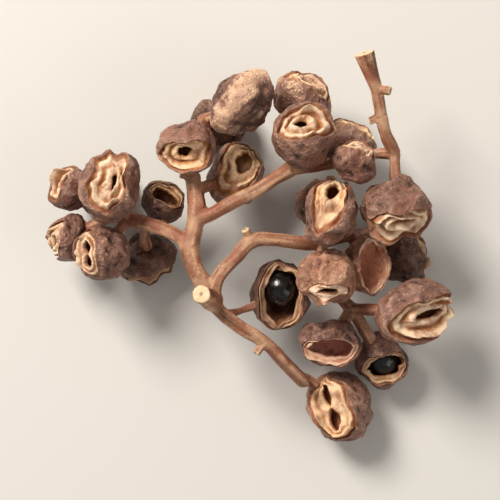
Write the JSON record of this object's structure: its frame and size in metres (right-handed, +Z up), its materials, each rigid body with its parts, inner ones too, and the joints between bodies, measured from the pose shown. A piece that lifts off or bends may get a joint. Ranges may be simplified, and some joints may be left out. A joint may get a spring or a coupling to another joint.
{
  "type": "dried andaliman pepper sprig",
  "caption": "Dried spice sprig: a woody branched twig carrying open, cup-shaped seed husks with pale linings, with glossy black seeds in a few of them.",
  "frame": {"origin": "on the surface that the sprig lies on, under the middle of its box", "axes": "+Z up from the surface, towards the viewer of the picture; +X to the picture's right; +Y to the picture's top"},
  "size_m": [0.03, 0.0288, 0.0114],
  "materials": {
    "twig": "dry reddish-tan bark with lengthwise wrinkles and pale cut ends",
    "husk": "dry purplish-brown pimpled skin with a pale cream papery lining",
    "seed": "glossy black seed coat"
  },
  "bodies": {
    "root": {"husk_left_back": "husk", "husk_left_big": "husk", "husk_left_foot": "husk", "husk_left_front": "husk", "husk_left_rim": "husk", "husk_left_small": "husk", "husk_left_under": "husk", "husk_lower": "husk", "husk_middle": "husk", "husk_right_back": "husk", "husk_right_foot": "husk", "husk_right_hanging": "husk", "husk_right_pink": "husk", "husk_right_shaded": "husk", "husk_right_top": "husk", "husk_right_under": "husk", "husk_right_wide": "husk", "husk_right_wrinkled": "husk", "husk_top_back": "husk", "husk_top_big": "husk", "husk_top_foot": "husk", "husk_top_left": "husk", "husk_top_mouth": "husk", "husk_top_side": "husk", "husk_top_under": "husk", "husk_with_seed": "husk", "seed_middle": "seed", "seed_right": "seed", "twig": "twig"}
  },
  "joints": []
}
